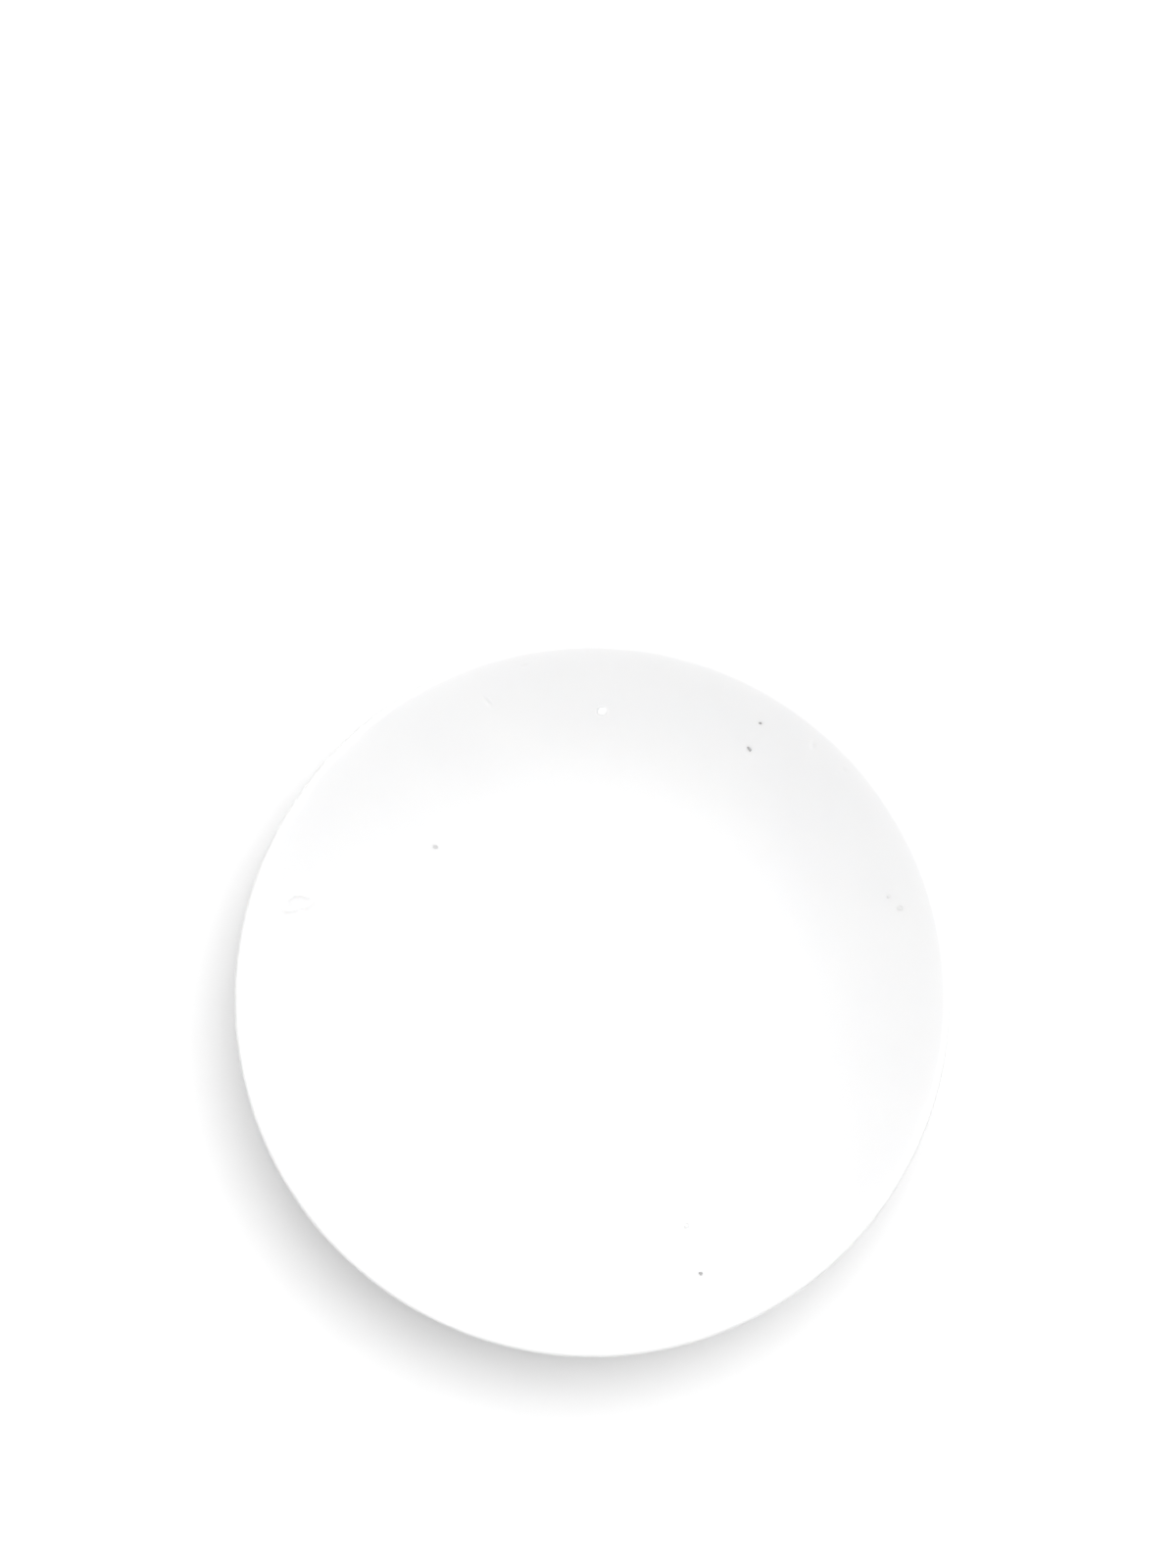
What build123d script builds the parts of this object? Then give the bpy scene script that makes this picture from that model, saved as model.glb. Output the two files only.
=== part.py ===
from build123d import *

import math
import os

# Round cake of hard white shaving soap, poured as one block in a round mould.
# The open top has sunk while it set: a shallow dish with a soft lip that ends
# in a tight outer edge where the soap met the mould's wall. The side wall is a
# true cylinder, the underside is flat, and the cake stands on it.
# Frame: +Z up, origin at the centre of the underside, millimetres.

# ---- driving dimensions (mm) ------------------------------------------------
PUCK_RADIUS = 35.0  # outer radius of the side wall
PUCK_HEIGHT = 16.6  # underside to the crest of the lip
DISH_DEPTH = 5.6  # crest of the lip to the middle of the dish
OUTER_EDGE_R = 0.4  # tight edge from the crest to the side wall
BASE_EDGE_R = 2.0  # rounded corner left by the mould's floor

# Slope of the dish, in degrees, against the fraction of the crest's radius.
# It is nearly level in the middle, steepens towards the rim and rolls over
# into the lip in the last few millimetres. Only the shape of this curve is
# used: it is scaled so that the dish is DISH_DEPTH deep.
DISH_SLOPE = (
    (0.0000, 0.0),
    (0.1500, 0.3),
    (0.3000, 1.2),
    (0.4000, 2.6),
    (0.5000, 5.4),
    (0.6000, 10.4),
    (0.7000, 16.6),
    (0.7800, 19.8),
    (0.8400, 21.6),
    (0.8900, 22.8),
    (0.9300, 23.4),
    (0.9550, 22.6),
    (0.9700, 21.6),
    (0.9850, 20.2),
    (0.9925, 16.5),
    (1.0000, 0.0),
)

# Dark flecks caught in the skin of the soap: place in the dish (x, y), long
# and short width, and the turn of the long side about the surface's normal.
FLECKS = (
    # x, y, long, short, turn in degrees
    (15.43, 24.50, 0.60, 0.32, -52.0),
    (16.46, 27.03, 0.42, 0.26, -38.0),
    (10.67, -26.94, 0.36, 0.32, 10.0),
    (-15.39, 14.86, 0.66, 0.34, -4.0),
    (30.14, 8.89, 0.44, 0.30, 24.0),
    (29.00, 10.03, 0.36, 0.28, 70.0),
    (9.26, -22.38, 0.28, 0.22, 30.0),
)
FLECK_THICK = 0.16  # of which FLECK_PROUD stands out of the soap
FLECK_PROUD = 0.04

CRUMB_AT = (0.95, 28.21)  # a pale bead of soap stuck on the slope of the dish
CRUMB_RADIUS = 0.46
CRUMB_SUNK = 0.25  # how far its centre lies under the skin

DIMPLE_AT = (-29.04, 9.17)  # a shallow round dent
DIMPLE_WIDTH = 2.2
DIMPLE_DEPTH = 0.12

# ---- the dish as a curve ----------------------------------------------------
CREST_R = PUCK_RADIUS - OUTER_EDGE_R
STEPS = 2000


def slope_at(t):
    for (t0, s0), (t1, s1) in zip(DISH_SLOPE, DISH_SLOPE[1:]):
        if t <= t1:
            return math.tan(math.radians(s0 + (s1 - s0) * (t - t0) / (t1 - t0)))
    return 0.0


rise = [0.0]
for i in range(STEPS):
    rise.append(rise[-1] + slope_at((i + 0.5) / STEPS) / STEPS)
scale_up = DISH_DEPTH / rise[-1]


def dish_z(r):
    """Height of the dish at radius r."""
    u = min(max(r / CREST_R, 0.0), 1.0) * STEPS
    i = min(int(u), STEPS - 1)
    return PUCK_HEIGHT - DISH_DEPTH + scale_up * (rise[i] + (rise[i + 1] - rise[i]) * (u - i))


def dish_normal(x, y):
    r = math.hypot(x, y)
    s = (dish_z(r + 0.05) - dish_z(r - 0.05)) / 0.1
    return Vector(-s * x / r, -s * y / r, 1.0).normalized()


def on_dish(x, y, turn=0.0):
    """Plane on the skin of the dish, its x axis turned about the normal."""
    n = dish_normal(x, y)
    a = math.radians(turn)
    flat = Vector(math.cos(a), math.sin(a), 0.0)
    along = (flat - n * flat.dot(n)).normalized()
    return Plane(origin=(x, y, dish_z(math.hypot(x, y))), x_dir=along, z_dir=n)


# ---- the cake of soap -------------------------------------------------------
stations = (0.0, 0.15, 0.30, 0.40, 0.50, 0.60, 0.70, 0.78, 0.84, 0.89, 0.93, 0.955, 0.975, 0.988, 1.0)
dish_points = [(t * CREST_R, 0.0, dish_z(t * CREST_R)) for t in stations]

with BuildPart() as cake:
    with BuildSketch(Plane.XZ) as section:
        with BuildLine():
            top = Spline(
                [(p[0], p[2]) for p in dish_points], tangents=[(1, 0), (1, 0)]
            )
            crest = top @ 1
            wall_top = (PUCK_RADIUS, PUCK_HEIGHT - OUTER_EDGE_R)
            corner = math.sqrt(0.5)
            ThreePointArc(
                crest,
                (
                    PUCK_RADIUS - OUTER_EDGE_R * (1 - corner),
                    PUCK_HEIGHT - OUTER_EDGE_R * (1 - corner),
                ),
                wall_top,
            )
            Line(wall_top, (PUCK_RADIUS, BASE_EDGE_R))
            ThreePointArc(
                (PUCK_RADIUS, BASE_EDGE_R),
                (
                    PUCK_RADIUS - BASE_EDGE_R * (1 - corner),
                    BASE_EDGE_R * (1 - corner),
                ),
                (PUCK_RADIUS - BASE_EDGE_R, 0.0),
            )
            Line((PUCK_RADIUS - BASE_EDGE_R, 0.0), (0.0, 0.0))
            Line((0.0, 0.0), top @ 0)
        make_face()
    revolve(axis=Axis.Z)
puck = cake.part

# ---- the shallow dent -------------------------------------------------------
dent_r = ((DIMPLE_WIDTH / 2) ** 2 + DIMPLE_DEPTH**2) / (2 * DIMPLE_DEPTH)
dent_plane = on_dish(*DIMPLE_AT)
dent = Sphere(dent_r).moved(
    Location(dent_plane.origin + dent_plane.z_dir * (dent_r - DIMPLE_DEPTH))
)
puck = puck - dent

# ---- flecks: irregular six-sided flakes, each seated in its own pocket -------
OUTLINE = (
    (-0.50, -0.12),
    (-0.22, -0.50),
    (0.30, -0.42),
    (0.50, 0.06),
    (0.16, 0.50),
    (-0.34, 0.38),
)
flecks = []
for x, y, long_side, short_side, turn in FLECKS:
    plane = on_dish(x, y, turn)
    corners = [(u * long_side, v * short_side) for u, v in OUTLINE]
    flake_face = make_face(Polyline(*corners, close=True))
    flake = extrude(flake_face, amount=FLECK_THICK)
    flake = Pos(0, 0, FLECK_PROUD - FLECK_THICK) * flake
    flecks.append(plane.location * flake)
for flake in flecks:
    puck = puck - flake

# ---- the pale bead ----------------------------------------------------------
crumb_plane = on_dish(*CRUMB_AT)
crumb = Sphere(CRUMB_RADIUS).moved(
    Location(crumb_plane.origin - crumb_plane.z_dir * CRUMB_SUNK)
)
puck = puck - crumb

# ---- write one file for each named piece ------------------------------------
os.makedirs("parts", exist_ok=True)
export_step(Compound(children=[Solid(puck.solids()[0].wrapped)]), "parts/soap_puck.step")
export_step(Compound(children=[Solid(f.solids()[0].wrapped) for f in flecks]), "parts/dark_flecks.step")
export_step(Compound(children=[Solid(crumb.solids()[0].wrapped)]), "parts/soap_crumb.step")

print("puck volume cm3", round(puck.volume / 1000, 3), "solids", len(puck.solids()))
print("dish middle z", round(dish_z(0.0), 3), "steepest deg", round(math.degrees(math.atan(scale_up / CREST_R * slope_at(0.91))), 2))
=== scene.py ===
import math

import bmesh
import bpy
import numpy as np
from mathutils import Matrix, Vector


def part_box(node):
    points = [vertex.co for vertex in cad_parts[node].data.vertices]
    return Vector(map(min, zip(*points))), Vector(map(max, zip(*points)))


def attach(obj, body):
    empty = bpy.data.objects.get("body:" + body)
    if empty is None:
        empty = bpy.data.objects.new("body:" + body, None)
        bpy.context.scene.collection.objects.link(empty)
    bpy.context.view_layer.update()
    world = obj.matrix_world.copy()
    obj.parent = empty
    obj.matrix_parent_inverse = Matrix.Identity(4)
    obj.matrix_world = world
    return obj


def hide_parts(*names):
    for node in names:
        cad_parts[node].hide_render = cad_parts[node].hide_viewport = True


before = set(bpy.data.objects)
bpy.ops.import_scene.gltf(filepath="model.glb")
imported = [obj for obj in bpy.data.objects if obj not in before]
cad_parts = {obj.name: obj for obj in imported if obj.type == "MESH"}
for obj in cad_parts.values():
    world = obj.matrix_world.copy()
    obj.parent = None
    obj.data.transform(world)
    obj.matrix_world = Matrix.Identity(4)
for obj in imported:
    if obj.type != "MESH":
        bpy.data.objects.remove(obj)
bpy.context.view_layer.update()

MM = 0.001

# ---------------------------------------------------------------------------
# The puck's shape, as the CAD has it (millimetres, turned into metres at the end).
# Only the lip's last half millimetre differs: it stays a little steeper before it turns over.
# ---------------------------------------------------------------------------
lo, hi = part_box("soap_puck")
RADIUS = (hi.x - lo.x) / 2 / MM
HEIGHT = hi.z / MM
DISH_DEPTH = 5.6
EDGE_R = 0.4
BASE_R = 2.0
CREST_R = RADIUS - EDGE_R
DISH_SLOPE = (
    (0.0000, 0.0),
    (0.1500, 0.3),
    (0.3000, 1.2),
    (0.4000, 2.6),
    (0.5000, 5.4),
    (0.6000, 10.4),
    (0.7000, 16.6),
    (0.7800, 19.8),
    (0.8400, 21.6),
    (0.8900, 22.8),
    (0.9300, 23.4),
    (0.9550, 22.6),
    (0.9700, 21.6),
    (0.9850, 21.4),
    (0.9925, 19.8),
    (1.0000, 0.0),
)


def smooth_table(x, knots, values):
    """Monotone cubic through the table, so that no shading band shows at a knot."""
    knots, values = np.asarray(knots, float), np.asarray(values, float)
    h = np.diff(knots)
    d = np.diff(values) / h
    m = np.zeros(len(knots))
    m[0], m[-1] = d[0], d[-1]
    for i in range(1, len(knots) - 1):
        if d[i - 1] * d[i] > 0:
            w1, w2 = 2 * h[i] + h[i - 1], h[i] + 2 * h[i - 1]
            m[i] = (w1 + w2) / (w1 / d[i - 1] + w2 / d[i])
    i = np.clip(np.searchsorted(knots, x, side="right") - 1, 0, len(h) - 1)
    t = (x - knots[i]) / h[i]
    return (
        (2 * t**3 - 3 * t**2 + 1) * values[i]
        + (t**3 - 2 * t**2 + t) * h[i] * m[i]
        + (3 * t**2 - 2 * t**3) * values[i + 1]
        + (t**3 - t**2) * h[i] * m[i + 1]
    )


_T = np.linspace(0, 1, 4001)
_S = np.tan(np.radians(smooth_table(_T, *zip(*DISH_SLOPE))))
_RISE = np.concatenate([[0], np.cumsum((_S[1:] + _S[:-1]) / 2 * (_T[1] - _T[0]))])
_K = DISH_DEPTH / _RISE[-1]


def dish_z(r):
    return HEIGHT - DISH_DEPTH + _K * np.interp(np.asarray(r) / CREST_R, _T, _RISE)


def dish_slope(r):
    return _K / CREST_R * np.interp(np.asarray(r) / CREST_R, _T, _S)


def on_dish(x, y):
    """Point on the dish's skin and its normal there."""
    r = math.hypot(x, y)
    s = float(dish_slope(r))
    n = Vector((-s * x / max(r, 1e-6), -s * y / max(r, 1e-6), 1.0)).normalized()
    return Vector((x, y, float(dish_z(r)))), n


# ---------------------------------------------------------------------------
# Seeded gradient noise, the same on every run
# ---------------------------------------------------------------------------
def _hash(ix, iy, iz, seed):
    h = (
        ix.astype(np.uint32) * np.uint32(374761393)
        + iy.astype(np.uint32) * np.uint32(668265263)
        + iz.astype(np.uint32) * np.uint32(2147483647)
        + np.uint32((seed * 1274126177) & 0xFFFFFFFF)
    )
    h ^= h >> np.uint32(13)
    h *= np.uint32(1274126177)
    h ^= h >> np.uint32(16)
    h *= np.uint32(2246822519)
    h ^= h >> np.uint32(15)
    return h


def noise3(p, scale, seed):
    """Gradient noise of about -1 to 1 at points p (n, 3), one feature every scale millimetres."""
    q = p / scale + 1000.0
    i = np.floor(q).astype(np.int64)
    f = q - i
    u = f * f * f * (f * (f * 6 - 15) + 10)
    out = np.zeros(len(p))
    for cx in (0, 1):
        for cy in (0, 1):
            for cz in (0, 1):
                h = _hash(i[:, 0] + cx, i[:, 1] + cy, i[:, 2] + cz, seed)
                gx = (h & np.uint32(1023)).astype(float) / 511.5 - 1
                gy = ((h >> np.uint32(10)) & np.uint32(1023)).astype(float) / 511.5 - 1
                gz = ((h >> np.uint32(20)) & np.uint32(1023)).astype(float) / 511.5 - 1
                dot = gx * (f[:, 0] - cx) + gy * (f[:, 1] - cy) + gz * (f[:, 2] - cz)
                w = (
                    (u[:, 0] if cx else 1 - u[:, 0])
                    * (u[:, 1] if cy else 1 - u[:, 1])
                    * (u[:, 2] if cz else 1 - u[:, 2])
                )
                out += w * dot
    return out * 1.5


def step(a, b, x):
    t = np.clip((x - a) / (b - a), 0, 1)
    return t * t * (3 - 2 * t)


# ---------------------------------------------------------------------------
# The cake of soap: rings of points from the middle of the dish, over the lip,
# down the wall and under to the middle of the underside. A ring has half as
# many points as the next one out where the points would crowd.
# ---------------------------------------------------------------------------
PITCH = 0.34
FULL = 640


def count_at(r):
    n = FULL
    while n > 5 and 2 * math.pi * max(r, 1e-6) / n < PITCH * 0.66:
        n //= 2
    return n


def profile():
    """(r, z, normal r, normal z, count) for each ring, from the top's middle to the underside's."""
    rows = []
    top_rs = []
    r = PITCH * 0.8
    while r < CREST_R - 0.9:
        top_rs.append(r)
        r += PITCH
    top_rs += list(np.linspace(CREST_R - 0.78, CREST_R, 7))
    for r in top_rs:
        s = float(dish_slope(r))
        n = math.hypot(s, 1)
        rows.append((r, float(dish_z(r)), -s / n, 1 / n, count_at(r)))
    for a in np.linspace(0, math.pi / 2, 8)[1:]:
        rows.append((CREST_R + EDGE_R * math.sin(a), HEIGHT - EDGE_R * (1 - math.cos(a)), math.sin(a), math.cos(a), FULL))
    for z in np.linspace(HEIGHT - EDGE_R, BASE_R, 42)[1:]:
        rows.append((RADIUS, float(z), 1.0, 0.0, FULL))
    for a in np.linspace(0, math.pi / 2, 10)[1:]:
        rows.append((RADIUS - BASE_R * (1 - math.cos(a)), BASE_R * (1 - math.sin(a)), math.cos(a), -math.sin(a), FULL))
    r = RADIUS - BASE_R - PITCH * 1.5
    while r > PITCH:
        rows.append((r, 0.0, 0.0, -1.0, max(5, count_at(r * 0.55))))
        r -= PITCH * (1.5 if r > 28 else 2.4)
    return rows


def ring_mesh(rows):
    verts, normals, faces, starts = [], [], [], []
    r0, z0 = 0.0, float(dish_z(0.0))
    verts.append((0.0, 0.0, z0))
    normals.append((0.0, 0.0, 1.0))
    for r, z, nr, nz, n in rows:
        starts.append(len(verts))
        a = np.arange(n) * (2 * math.pi / n)
        for c, s in zip(np.cos(a), np.sin(a)):
            verts.append((r * c, r * s, z))
            normals.append((nr * c, nr * s, nz))
    last = len(verts)
    verts.append((0.0, 0.0, 0.0))
    normals.append((0.0, 0.0, -1.0))
    n = rows[0][4]
    for j in range(n):
        faces.append((0, starts[0] + j, starts[0] + (j + 1) % n))
    for k in range(len(rows) - 1):
        a, b, na, nb = starts[k], starts[k + 1], rows[k][4], rows[k + 1][4]
        if na == nb:
            for j in range(na):
                j1 = (j + 1) % na
                faces.append((a + j, b + j, b + j1, a + j1))
        elif nb == 2 * na:
            for j in range(na):
                j1, m, m2 = (j + 1) % na, 2 * j + 1, (2 * j + 2) % nb
                faces += [(a + j, b + 2 * j, b + m), (a + j, b + m, a + j1), (a + j1, b + m, b + m2)]
        elif na == 2 * nb:
            for j in range(nb):
                j1, m, m2 = (j + 1) % nb, 2 * j + 1, (2 * j + 2) % na
                faces += [(b + j, a + m, a + 2 * j), (b + j, b + j1, a + m), (b + j1, a + m2, a + m)]
        else:
            raise ValueError(f"rings {k} and {k + 1} have {na} and {nb} points")
    n = rows[-1][4]
    for j in range(n):
        faces.append((starts[-1] + j, last, starts[-1] + (j + 1) % n))
    return np.array(verts), np.array(normals), faces


# Marks on the face, millimetres
BURST = (-28.90, 9.50)  # a bubble that burst as the skin set: a low broken ring
NICKS = (  # faint scratches: x, y, length, width, turn, depth
    (-10.20, 29.06, 1.3, 0.38, -48.0, 0.055),
    (21.66, 24.82, 0.9, 0.50, 80.0, 0.060),
    (-6.60, 32.60, 0.8, 0.34, 15.0, 0.045),
    (24.60, 22.40, 1.1, 0.54, -35.0, 0.032),
)
FLECKS = (  # x, y, long, short, turn, how deep under the skin it looks (0 bare, 1 covered)
    (15.43, 24.50, 0.66, 0.34, -52.0, 0.41),
    (16.46, 27.03, 0.40, 0.31, -38.0, 0.36),
    (10.67, -26.94, 0.47, 0.45, 10.0, 0.38),
    (-15.39, 14.86, 0.72, 0.34, -4.0, 0.67),
    (30.14, 8.89, 0.66, 0.42, -12.0, 0.925),
    (29.00, 10.03, 0.46, 0.33, 50.0, 0.905),
    (9.26, -22.38, 0.56, 0.44, 30.0, 0.94),
)
BEAD = (0.95, 28.21)
rng = np.random.default_rng(20825)


def halve_gaps(rows):
    """No ring may have more than twice or less than half its neighbour's count."""
    out = [list(r) for r in rows]
    for k in range(1, len(out)):
        if out[k][4] > 2 * out[k - 1][4]:
            out[k][4] = 2 * out[k - 1][4]
    for k in range(len(out) - 2, -1, -1):
        if out[k][4] > 2 * out[k + 1][4]:
            out[k][4] = 2 * out[k + 1][4]
    return [tuple(r) for r in out]


def pits():
    """Pinholes left by air against the mould: centre (x, y, z), radius and depth."""
    made = []
    for _ in range(34):
        a = rng.uniform(0, 2 * math.pi)
        z = rng.uniform(BASE_R + 0.4, HEIGHT - 1.6)
        w = rng.choice([0.28, 0.34, 0.42, 0.55], p=[0.4, 0.3, 0.2, 0.1])
        made.append((RADIUS * math.cos(a), RADIUS * math.sin(a), z, w, w * rng.uniform(0.3, 0.55)))
    for _ in range(9):  # small knocks along the lower corner
        a, w = rng.uniform(0, 2 * math.pi), rng.uniform(0.5, 1.0)
        made.append((34.45 * math.cos(a), 34.45 * math.sin(a), 0.62, w, w * rng.uniform(0.12, 0.24)))
    for _ in range(22):
        a, r = rng.uniform(0, 2 * math.pi), 32 * math.sqrt(rng.uniform(0, 1))
        w = rng.choice([0.35, 0.5, 0.7], p=[0.5, 0.35, 0.15])
        made.append((r * math.cos(a), r * math.sin(a), 0.0, w, w * rng.uniform(0.25, 0.45)))
    return made


def refined(v, n, faces, spots):
    """Cuts the faces near each spot finer and lays the new points on the ideal surface."""
    me = bpy.data.meshes.new("work")
    me.from_pydata([tuple(c) for c in v], [], faces)
    bm = bmesh.new()
    bm.from_mesh(me)
    bpy.data.meshes.remove(me)
    for x, y, z, reach, cuts in spots:
        c = Vector((x, y, z))
        near = [f for f in bm.faces if (f.calc_center_median() - c).length < reach]
        edges = list({e for f in near for e in f.edges})
        bmesh.ops.subdivide_edges(bm, edges=edges, cuts=cuts, use_grid_fill=True)
    bmesh.ops.triangulate(bm, faces=[f for f in bm.faces if len(f.verts) > 4])
    bm.verts.index_update()
    p = np.array([tuple(q.co) for q in bm.verts])
    f = [tuple(q.index for q in g.verts) for g in bm.faces]
    bm.free()
    m = np.zeros_like(p)
    m[: len(n)] = n
    for k in range(len(v), len(p)):
        x, y, z = p[k]
        r = math.hypot(x, y)
        if z > 5 and r < CREST_R:
            s = float(dish_slope(r))
            w = math.hypot(s, 1)
            p[k] = (x, y, float(dish_z(r)))
            m[k] = (-s * x / r / w, -s * y / r / w, 1 / w)
        elif z >= BASE_R:
            p[k] = (x / r * RADIUS, y / r * RADIUS, z)
            m[k] = (x / r, y / r, 0)
        elif r > RADIUS - BASE_R:
            dr, dz = r - (RADIUS - BASE_R), z - BASE_R
            w = math.hypot(dr, dz)
            dr, dz = dr / w, dz / w
            out_r = RADIUS - BASE_R + BASE_R * dr
            p[k] = (x / r * out_r, y / r * out_r, BASE_R + BASE_R * dz)
            m[k] = (x / r * dr, y / r * dr, dz)
        else:
            m[k] = (0, 0, -1)
    return p, m, f


def swell(p):
    """The skin set unevenly: long soft swells, a few hundredths of a millimetre high."""
    flat = np.stack([p[:, 0], p[:, 1], np.zeros(len(p))], 1)
    return 0.020 * noise3(flat, 17.0, 3) + 0.006 * noise3(flat, 6.5, 4) + 0.0016 * noise3(flat, 2.4, 5)


def skin_swell(x, y):
    return float(swell(np.array([[x, y, 0.0]]))[0])


def displaced(p, n):
    """Moves each point along its normal by what a poured, hand-turned-out cake really shows."""
    side = 1 - np.abs(n[:, 2])
    down = np.clip(-n[:, 2], 0, 1)
    on_top = step(0.4, 0.8, np.clip(n[:, 2], 0, 1))
    d = np.zeros(len(p))
    d += on_top * swell(p)
    # the wall, cast against the mould: slightly out of round, faint drag lines up the wall
    ang = np.arctan2(p[:, 1], p[:, 0])
    round_p = np.stack([RADIUS * np.cos(ang), RADIUS * np.sin(ang), p[:, 2] * 0.12], 1)
    d += side * (0.030 * noise3(p * np.array([1, 1, 0.4]), 21.0, 6) + 0.022 * noise3(round_p, 2.6, 7) + 0.011 * noise3(round_p, 1.1, 8))
    d += side * (0.024 * noise3(p * np.array([0.45, 0.45, 1]), 3.6, 11) + 0.010 * noise3(p, 2.3, 12))
    # the underside: level, with the faint print of the mould's floor
    d += down * (0.012 * noise3(p, 9.0, 9) + 0.004 * noise3(p, 2.2, 10)) - 0.012 * down
    # the burst bubble: a shallow bowl inside a low, broken, wandering ring
    x, y = BURST
    dx, dy = p[:, 0] - x, p[:, 1] - y
    near = on_top * (np.hypot(dx, dy) < 3)
    turn = np.arctan2(dy, dx)
    wander = 1 + 0.20 * np.sin(2 * turn + 0.6) + 0.12 * np.sin(3 * turn + 2.0) + 0.07 * np.sin(7 * turn)
    q = np.hypot(dx / 1.12, dy / 0.74) / wander
    strong = 0.50 + 0.50 * step(-0.2, 0.8, np.cos(turn - math.radians(255))) * (0.7 + 0.3 * np.sin(5 * turn + 1.0))
    d += near * (-0.060 * np.clip(1 - q**2, 0, 1) + 0.160 * strong * np.exp(-(((q - 1.0) / 0.22) ** 2)))
    # faint nicks, each pushed in with a slight burr beside it
    for x, y, long, wide, turn, depth in NICKS:
        c, sn = math.cos(math.radians(turn)), math.sin(math.radians(turn))
        u = ((p[:, 0] - x) * c + (p[:, 1] - y) * sn) / (long / 2)
        w = (-(p[:, 0] - x) * sn + (p[:, 1] - y) * c) / (wide / 2)
        d += on_top * depth * np.exp(-(u**2) * 1.5) * (-np.exp(-(w**2) * 1.5) + 0.5 * np.exp(-((w - 1.3) ** 2) * 3))
    # the soap is drawn down a little where each fleck sits, and heaped round the bead
    for x, y, long, short, turn, deep in FLECKS:
        q = np.hypot(p[:, 0] - x, p[:, 1] - y) / (0.75 * long)
        d += on_top * -0.030 * (1 - deep) * np.exp(-(q**2))
    q = np.hypot(p[:, 0] - BEAD[0], p[:, 1] - BEAD[1]) / 0.70
    d += on_top * 0.012 * np.exp(-(q**2) * 2)
    for px, py, pz, w, depth in PITS:
        close = np.abs(p - (px, py, pz)).max(axis=1) < w
        if close.any():
            q = np.linalg.norm(p[close] - (px, py, pz), axis=1) / w
            d[close] -= np.where(q < 1, depth * (1 - q**2) ** 1.5, 0)
    return p + n * d[:, None]


PITS = pits()
SPOTS = [(*on_dish(*BURST)[0], 2.0, 3), (*on_dish(*BEAD)[0], 1.0, 2)]
SPOTS += [(*on_dish(x, y)[0], 1.0, 2) for x, y, *_ in NICKS]
SPOTS += [(*on_dish(x, y)[0], 0.75, 2) for x, y, *_ in FLECKS]
SPOTS += [(x, y, z, w * 1.2 + 0.25, 2) for x, y, z, w, depth in PITS]
rows = halve_gaps(profile())
verts, normals, faces = ring_mesh(rows)
verts, normals, faces = refined(verts, normals, faces, SPOTS)
verts = displaced(verts, normals)


def new_mesh(name, v, f, smooth=True):
    me = bpy.data.meshes.new(name)
    me.from_pydata([tuple(c) for c in v], [], f)
    me.polygons.foreach_set("use_smooth", [smooth] * len(me.polygons))
    me.update()
    ob = bpy.data.objects.new(name, me)
    bpy.context.scene.collection.objects.link(ob)
    return ob


puck = new_mesh("soap_cake", verts * MM, faces)


# ---------------------------------------------------------------------------
# Flecks and the pale bead
# ---------------------------------------------------------------------------
def lump(centre, normal, turn, a, b, c, seed, rough=0.18, n_u=20, n_v=12, crown=1.0):
    """A small closed irregular lump with half sizes a, b, c; c is along the normal.
    A crown above 1 draws the upper half out to a low, spreading heap."""
    ax = Vector((math.cos(math.radians(turn)), math.sin(math.radians(turn)), 0))
    ax = (ax - normal * ax.dot(normal)).normalized()
    ay = normal.cross(ax)
    pts = [(0, 0, 1)]
    for i in range(1, n_v):
        t = math.pi * i / n_v
        for j in range(n_u):
            u = 2 * math.pi * j / n_u
            pts.append((math.sin(t) * math.cos(u), math.sin(t) * math.sin(u), math.cos(t)))
    pts.append((0, 0, -1))
    pts = np.array(pts)
    k = 1 + rough * noise3(pts, 0.9, seed) + rough * 0.5 * noise3(pts, 0.45, seed + 50)
    q = pts * k[:, None]
    q[:, 2] = np.where(q[:, 2] > 0, np.abs(q[:, 2]) ** crown, q[:, 2])
    out = [centre + ax * (x * a) + ay * (y * b) + normal * (z * c) for x, y, z in q]
    f = [(0, 1 + j, 1 + (j + 1) % n_u) for j in range(n_u)]
    for i in range(n_v - 2):
        for j in range(n_u):
            a0, a1 = 1 + i * n_u + j, 1 + i * n_u + (j + 1) % n_u
            f.append((a0, a0 + n_u, a1 + n_u, a1))
    e = len(pts) - 1
    f += [(e - n_u + j, e, e - n_u + (j + 1) % n_u) for j in range(n_u)]
    return out, f


all_v, all_f, cover = [], [], []
for i, (x, y, w, h, turn, deep) in enumerate(FLECKS):
    c, n = on_dish(x, y)
    # a fleck stands a few hundredths proud of the skin where it sits; a covered one lies flatter
    thick = 0.030 + 0.045 * (1 - deep)
    proud = 0.015 + 0.015 * (1 - deep) + skin_swell(x, y) - 0.030 * (1 - deep)
    v, f = lump(c + n * (proud - thick), n, turn, w / 2, h / 2, thick, 100 + i, rough=0.35)
    base = len(all_v)
    all_v += v
    all_f += [tuple(base + k for k in q) for q in f]
    cover += [deep] * len(v)
flecks = new_mesh("caught_flecks", [q * MM for q in all_v], all_f)
att = flecks.data.attributes.new("cover", "FLOAT", "POINT")
att.data.foreach_set("value", cover)

c, n = on_dish(*BEAD)
c = c + n * (skin_swell(*BEAD) + 0.010)
v, f = lump(c - n * 0.024, n, 20.0, 0.52, 0.48, 0.062, 300, rough=0.10, n_u=48, n_v=28, crown=2.0)
bead = new_mesh("pale_bead", [q * MM for q in v], f)

for ob, node, slot in ((puck, "soap_puck", "soap"), (flecks, "dark_flecks", "fleck"), (bead, "soap_crumb", "crumb")):
    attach(ob, "root")
    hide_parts(node)


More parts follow.
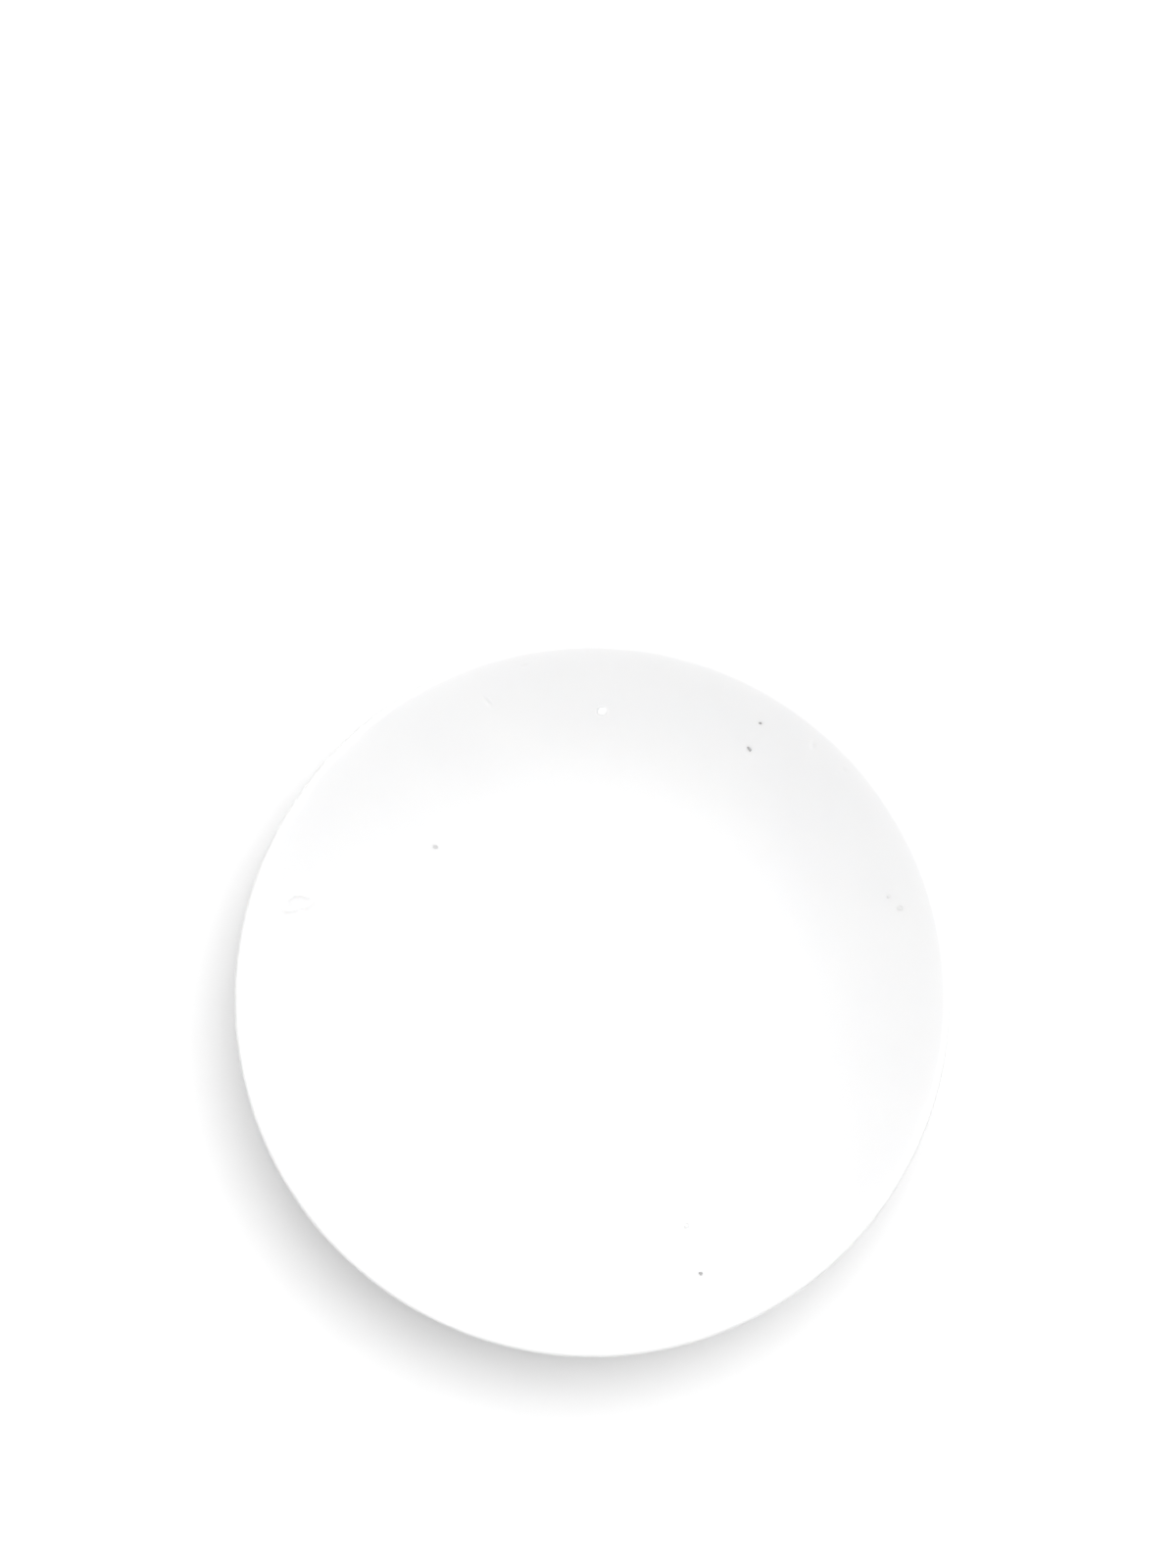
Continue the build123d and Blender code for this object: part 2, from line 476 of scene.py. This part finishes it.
# ---------------------------------------------------------------------------
# Materials
# ---------------------------------------------------------------------------
def material(name):
    m = bpy.data.materials.new(name)
    m.use_nodes = True
    nt = m.node_tree
    bsdf = nt.nodes["Principled BSDF"]
    return m, nt, bsdf


def node(nt, kind, **inputs):
    n = nt.nodes.new(kind)
    for k, v in inputs.items():
        n.inputs[k.replace("_", " ")].default_value = v
    return n


def soap_material(name, tone, rough, scatter):
    m, nt, b = material(name)
    L = nt.links.new
    where = nt.nodes.new("ShaderNodeTexCoord")
    # faint clouding in the body of the soap
    cloud = node(nt, "ShaderNodeTexNoise", Scale=70.0, Detail=3.0, Roughness=0.5)
    L(where.outputs["Object"], cloud.inputs["Vector"])
    ramp = nt.nodes.new("ShaderNodeValToRGB")
    ramp.color_ramp.elements[0].position, ramp.color_ramp.elements[1].position = 0.3, 0.7
    ramp.color_ramp.elements[0].color = (tone[0] * 0.993, tone[1] * 0.993, tone[2] * 0.995, 1)
    ramp.color_ramp.elements[1].color = (tone[0] * 1.005, tone[1] * 1.005, tone[2] * 1.003, 1)
    L(cloud.outputs["Fac"], ramp.inputs["Fac"])
    # painted light: the soap is paler within about 0.8 mm of the bead, lifting the shade that the bead throws into the
    # soap round it
    off = nt.nodes.new("ShaderNodeVectorMath")
    off.operation = "DISTANCE"
    L(where.outputs["Object"], off.inputs[0])
    off.inputs[1].default_value = on_dish(*BEAD)[0] * MM
    reach = nt.nodes.new("ShaderNodeMapRange")
    reach.interpolation_type = "SMOOTHSTEP"
    reach.inputs["From Min"].default_value, reach.inputs["From Max"].default_value = 0.00036, 0.00080
    reach.inputs["To Min"].default_value, reach.inputs["To Max"].default_value = 1.0, 0.0
    L(off.outputs["Value"], reach.inputs["Value"])
    painted_halo_light = nt.nodes.new("ShaderNodeMix")
    painted_halo_light.data_type = "RGBA"
    L(reach.outputs["Result"], painted_halo_light.inputs["Factor"])
    L(ramp.outputs["Color"], painted_halo_light.inputs[6])
    # pale tone of the painted light round the bead
    painted_halo_light.inputs[7].default_value = (0.93, 0.93, 0.932, 1)
    L(painted_halo_light.outputs[2], b.inputs["Base Color"])
    # waxy skin: patches a little shinier where it was touched or set against the mould
    patch = node(nt, "ShaderNodeTexNoise", Scale=140.0, Detail=4.0, Roughness=0.6)
    L(where.outputs["Object"], patch.inputs["Vector"])
    span = nt.nodes.new("ShaderNodeMapRange")
    span.inputs["From Min"].default_value, span.inputs["From Max"].default_value = 0.3, 0.7
    span.inputs["To Min"].default_value, span.inputs["To Max"].default_value = rough - 0.05, rough + 0.07
    L(patch.outputs["Fac"], span.inputs["Value"])
    L(span.outputs["Result"], b.inputs["Roughness"])
    # the skin's fine tooth
    fine = node(nt, "ShaderNodeTexNoise", Scale=2600.0, Detail=3.0, Roughness=0.55)
    L(where.outputs["Object"], fine.inputs["Vector"])
    soft = node(nt, "ShaderNodeTexNoise", Scale=520.0, Detail=2.0, Roughness=0.5)
    L(where.outputs["Object"], soft.inputs["Vector"])
    add = nt.nodes.new("ShaderNodeMath")
    add.operation = "MULTIPLY_ADD"
    add.inputs[1].default_value = 0.35
    L(fine.outputs["Fac"], add.inputs[0])
    L(soft.outputs["Fac"], add.inputs[2])
    bump = nt.nodes.new("ShaderNodeBump")
    bump.inputs["Strength"].default_value = 0.25
    bump.inputs["Distance"].default_value = 0.00002
    L(add.outputs["Value"], bump.inputs["Height"])
    L(bump.outputs["Normal"], b.inputs["Normal"])
    b.inputs["IOR"].default_value = 1.46
    b.inputs["Specular IOR Level"].default_value = 0.5
    b.inputs["Subsurface Weight"].default_value = scatter
    b.inputs["Subsurface Radius"].default_value = (1.0, 0.98, 0.96)
    b.inputs["Subsurface Scale"].default_value = 0.0006
    return m


def fleck_material():
    m, nt, b = material("fleck_grit")
    L = nt.links.new
    where = nt.nodes.new("ShaderNodeTexCoord")
    grain = node(nt, "ShaderNodeTexNoise", Scale=6000.0, Detail=3.0, Roughness=0.6)
    L(where.outputs["Object"], grain.inputs["Vector"])
    ramp = nt.nodes.new("ShaderNodeValToRGB")
    ramp.color_ramp.elements[0].color = (0.075, 0.073, 0.072, 1)
    ramp.color_ramp.elements[1].color = (0.20, 0.197, 0.195, 1)
    L(grain.outputs["Fac"], ramp.inputs["Fac"])
    # a fleck that lies deeper looks paler through the soap over it
    att = nt.nodes.new("ShaderNodeAttribute")
    att.attribute_name = "cover"
    mix = nt.nodes.new("ShaderNodeMix")
    mix.data_type = "RGBA"
    L(att.outputs["Fac"], mix.inputs["Factor"])
    L(ramp.outputs["Color"], mix.inputs[6])
    mix.inputs[7].default_value = (0.80, 0.80, 0.80, 1)
    L(mix.outputs[2], b.inputs["Base Color"])
    b.inputs["Roughness"].default_value = 0.7
    return m


SOAP_TONE = (0.824, 0.824, 0.826)
puck.data.materials.append(soap_material("soap", SOAP_TONE, 0.50, 1.0))
bead.data.materials.append(soap_material("soap_bead", (0.96, 0.96, 0.962), 0.42, 0.0))
flecks.data.materials.append(fleck_material())

# ---------------------------------------------------------------------------
# Stage: a plain pale sheet, soft light from the upper right, straight-down camera
# ---------------------------------------------------------------------------
bpy.ops.mesh.primitive_grid_add(x_subdivisions=8, y_subdivisions=8, size=12.0, location=(0, 0, 0))
floor = bpy.context.active_object
floor.name = "paper"
m, nt, b = material("paper")
b.inputs["Base Color"].default_value = (0.90, 0.90, 0.90, 1)
b.inputs["Roughness"].default_value = 0.9
b.inputs["Specular IOR Level"].default_value = 0.0
# painted pool of light: beyond the picture's frame the sheet's colour darkens with distance, standing in for light
# that falls off across a dimmer sweep
where = nt.nodes.new("ShaderNodeTexCoord")
out = nt.nodes.new("ShaderNodeVectorMath")
out.operation = "LENGTH"
nt.links.new(where.outputs["Object"], out.inputs[0])
span = nt.nodes.new("ShaderNodeMapRange")
span.inputs["From Min"].default_value, span.inputs["From Max"].default_value = 0.12, 1.6
nt.links.new(out.outputs["Value"], span.inputs["Value"])
ramp = nt.nodes.new("ShaderNodeValToRGB")
ramp.color_ramp.interpolation = "EASE"
painted_falloff_tones = ((0.0, 0.90), (0.05, 0.815), (0.14, 0.735), (0.38, 0.640), (1.0, 0.515))
for k, (at, tone) in enumerate(painted_falloff_tones):
    e = ramp.color_ramp.elements[k] if k < 2 else ramp.color_ramp.elements.new(at)
    e.position, e.color = at, (tone, tone, tone, 1)
nt.links.new(span.outputs["Result"], ramp.inputs["Fac"])
# the painted falloff sets the sheet's colour
nt.links.new(ramp.outputs["Color"], b.inputs["Base Color"])
floor.data.materials.append(m)

# The light is a world of soft light with no hard edge: a wide bright patch of sky
# round one direction, a faint even fill, and a pale band low down all round.
LIGHT_AZ, LIGHT_EL = 61.0, 74.5
LOBE_COS, LOBE_SOFT = math.cos(math.radians(20.0)), 0.06
PATCH, FILL, BAND, BAND_SIN = 1.0, 0.22, 0.43, 0.15
OPEN_FLOOR = 1.149  # how bright the open paper comes out, 1 being white
PAPER_TONE = 0.90

az, el = math.radians(LIGHT_AZ), math.radians(LIGHT_EL)
LIGHT_WAY = (math.cos(el) * math.cos(az), math.cos(el) * math.sin(az), math.sin(el))


def floor_light(n=360):
    """Light the patch and the band put on level paper, over pi, for unit strengths."""
    z = (np.arange(n) + 0.5) / n
    t = (np.arange(2 * n) + 0.5) / (2 * n) * 2 * math.pi
    zz, tt = np.meshgrid(z, t, indexing="ij")
    q = np.sqrt(1 - zz**2)
    c = q * np.cos(tt) * LIGHT_WAY[0] + q * np.sin(tt) * LIGHT_WAY[1] + zz * LIGHT_WAY[2]
    cell = (1 / n) * (2 * math.pi / (2 * n)) / math.pi
    patch = float((zz / (1 + np.exp(-(c - LOBE_COS) / LOBE_SOFT))).sum() * cell)
    band = float((zz * np.exp(-((zz / BAND_SIN) ** 2))).sum() * cell)
    return patch, band


_patch, _band = floor_light()
patch_strength = PATCH * (OPEN_FLOOR / PAPER_TONE - FILL - BAND * _band) / _patch

world = bpy.data.worlds.new("studio")
bpy.context.scene.world = world
world.use_nodes = True
wt = world.node_tree
W = wt.links.new
way = wt.nodes.new("ShaderNodeTexCoord")
dot = wt.nodes.new("ShaderNodeVectorMath")
dot.operation = "DOT_PRODUCT"
dot.inputs[1].default_value = LIGHT_WAY
W(way.outputs["Generated"], dot.inputs[0])


def maths(op, a, b=None, c=None):
    n = wt.nodes.new("ShaderNodeMath")
    n.operation = op
    for k, v in enumerate((a, b, c)):
        if isinstance(v, (int, float)):
            n.inputs[k].default_value = v
        elif v is not None:
            W(v, n.inputs[k])
    return n.outputs[0]


x = maths("SUBTRACT", LOBE_COS, dot.outputs["Value"])
x = maths("EXPONENT", maths("DIVIDE", x, LOBE_SOFT))
lobe = maths("DIVIDE", patch_strength, maths("ADD", x, 1.0))
xyz = wt.nodes.new("ShaderNodeSeparateXYZ")
W(way.outputs["Generated"], xyz.inputs[0])
low = maths("DIVIDE", xyz.outputs["Z"], BAND_SIN)
low = maths("MULTIPLY", maths("EXPONENT", maths("MULTIPLY", maths("MULTIPLY", low, low), -1.0)), BAND)
W(maths("ADD", maths("ADD", lobe, FILL), low), wt.nodes["Background"].inputs["Strength"])
wt.nodes["Background"].inputs["Color"].default_value = (1, 1, 1, 1)

cam_data = bpy.data.cameras.new("camera")
cam_data.sensor_width = 36.0
cam_data.sensor_fit = "AUTO"
RIM_AWAY = 0.700
cam_data.lens = RIM_AWAY / (RADIUS * MM / 365.26) * 36.0 / 1600
cam_data.clip_start, cam_data.clip_end = 0.01, 20
cam = bpy.data.objects.new("camera", cam_data)
PX = RADIUS * MM / 365.26
cam.location = ((600 - 604.18) * PX, (1020.03 - 800) * PX, HEIGHT * MM + RIM_AWAY)
cam.rotation_euler = (0, 0, 0)
bpy.context.scene.collection.objects.link(cam)
bpy.context.scene.camera = cam

vs = bpy.context.scene.view_settings
vs.view_transform = "Standard"
vs.look = "None"
vs.exposure, vs.gamma = 0.0, 1.0
